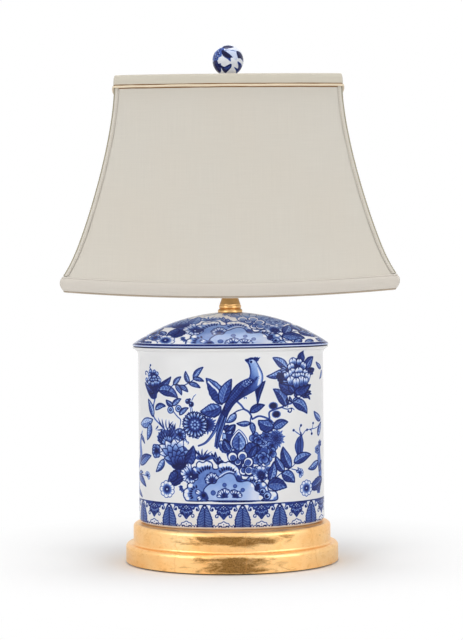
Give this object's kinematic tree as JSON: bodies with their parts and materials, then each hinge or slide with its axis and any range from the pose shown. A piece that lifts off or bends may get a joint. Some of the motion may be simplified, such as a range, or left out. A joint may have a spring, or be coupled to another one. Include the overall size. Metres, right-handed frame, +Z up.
{
  "type": "table lamp",
  "caption": "Table lamp with an oval porcelain jar on a stepped oval base, a rectangular bell shade on a harp and a ball finial.",
  "frame": {"origin": "middle of the underside of the foot, at the height of the table", "axes": "+Z up along the rod, +X to the right and -Y to the front of the lamp; the cord outlet is at the back, +Y"},
  "size_m": [0.34, 0.221, 0.5328],
  "materials": {
    "felt": "woven felt",
    "gold_leaf_wood": "gold leaf over turned wood",
    "bushing_plastic": "moulded",
    "plated_steel": "zinc plated",
    "brass_rod": "threaded, satin",
    "porcelain": "glossy glaze, painted in blue",
    "warm_brass": "satin",
    "pale_brass": "plated, satin",
    "polished_brass": "polished",
    "liner_card": "pressed card",
    "phenolic": "moulded",
    "contact_metal": "rolled sheet",
    "knob_plastic": "moulded",
    "solder": "soldered",
    "frosted_glass": "frosted",
    "frame_steel": "brass plated",
    "shade_cloth": "plain weave silk cloth on a stiff backing",
    "lining_cloth": "smooth white lining",
    "piping_cloth": "bias cut cord piping"
  },
  "bodies": {
    "lamp": {"base_felt": "felt", "wood_base": "gold_leaf_wood", "cord_bushing": "bushing_plastic", "rod_washer": "plated_steel", "rod_nut": "plated_steel", "threaded_rod": "brass_rod", "jar": "porcelain", "lid": "porcelain", "seat_ring": "warm_brass", "brass_neck": "warm_brass", "harp_saddle": "pale_brass", "socket_cap": "polished_brass", "socket_shell": "polished_brass", "socket_liner": "liner_card", "socket_core": "phenolic", "terminal_screws": "polished_brass", "screw_shell": "contact_metal", "centre_contact": "polished_brass"},
    "switch": {"switch_shaft": "pale_brass", "switch_knob": "knob_plastic"},
    "bulb": {"bulb_cap": "contact_metal", "bulb_contact": "solder", "bulb_glass": "frosted_glass"},
    "harp": {"harp_loop": "pale_brass", "harp_stud": "pale_brass"},
    "left_lock": {"left_sleeve": "polished_brass"},
    "right_lock": {"right_sleeve": "polished_brass"},
    "shade": {"shade_spider": "frame_steel", "shade_top_wire": "frame_steel", "shade_bottom_wire": "frame_steel", "shade_ribs": "frame_steel", "shade_cover": "shade_cloth", "shade_lining": "lining_cloth", "shade_top_band": "shade_cloth", "shade_top_piping": "piping_cloth", "shade_hem_band": "shade_cloth", "shade_hem_piping": "piping_cloth", "shade_corner_tapes": "shade_cloth"},
    "finial": {"finial_insert": "warm_brass", "finial_ball": "porcelain"}
  },
  "joints": [
    {"name": "switch_turn", "type": "hinge", "parent": "lamp", "child": "switch", "pos_m": [0, -0.02, 0.3116], "axis": [0, -1, 0], "continuous": true},
    {"name": "bulb_turn", "type": "hinge", "parent": "lamp", "child": "bulb", "pos_m": [0, 0, 0.3366], "axis": [0, 0, 1], "continuous": true},
    {"name": "harp_lift", "type": "slide", "parent": "lamp", "child": "harp", "axis": [0, 0, 1], "range_m": [0, 0.16]},
    {"name": "left_sleeve_slide", "type": "slide", "parent": "harp", "child": "left_lock", "axis": [0, 0, 1], "range_m": [0, 0.014]},
    {"name": "right_sleeve_slide", "type": "slide", "parent": "harp", "child": "right_lock", "axis": [0, 0, 1], "range_m": [0, 0.014]},
    {"name": "shade_turn", "type": "hinge", "parent": "harp", "child": "shade", "pos_m": [0, 0, 0.4815], "axis": [0, 0, 1], "continuous": true},
    {"name": "finial_turn", "type": "hinge", "parent": "shade", "child": "finial", "pos_m": [0, 0, 0.4834], "axis": [0, 0, 1], "continuous": true}
  ]
}
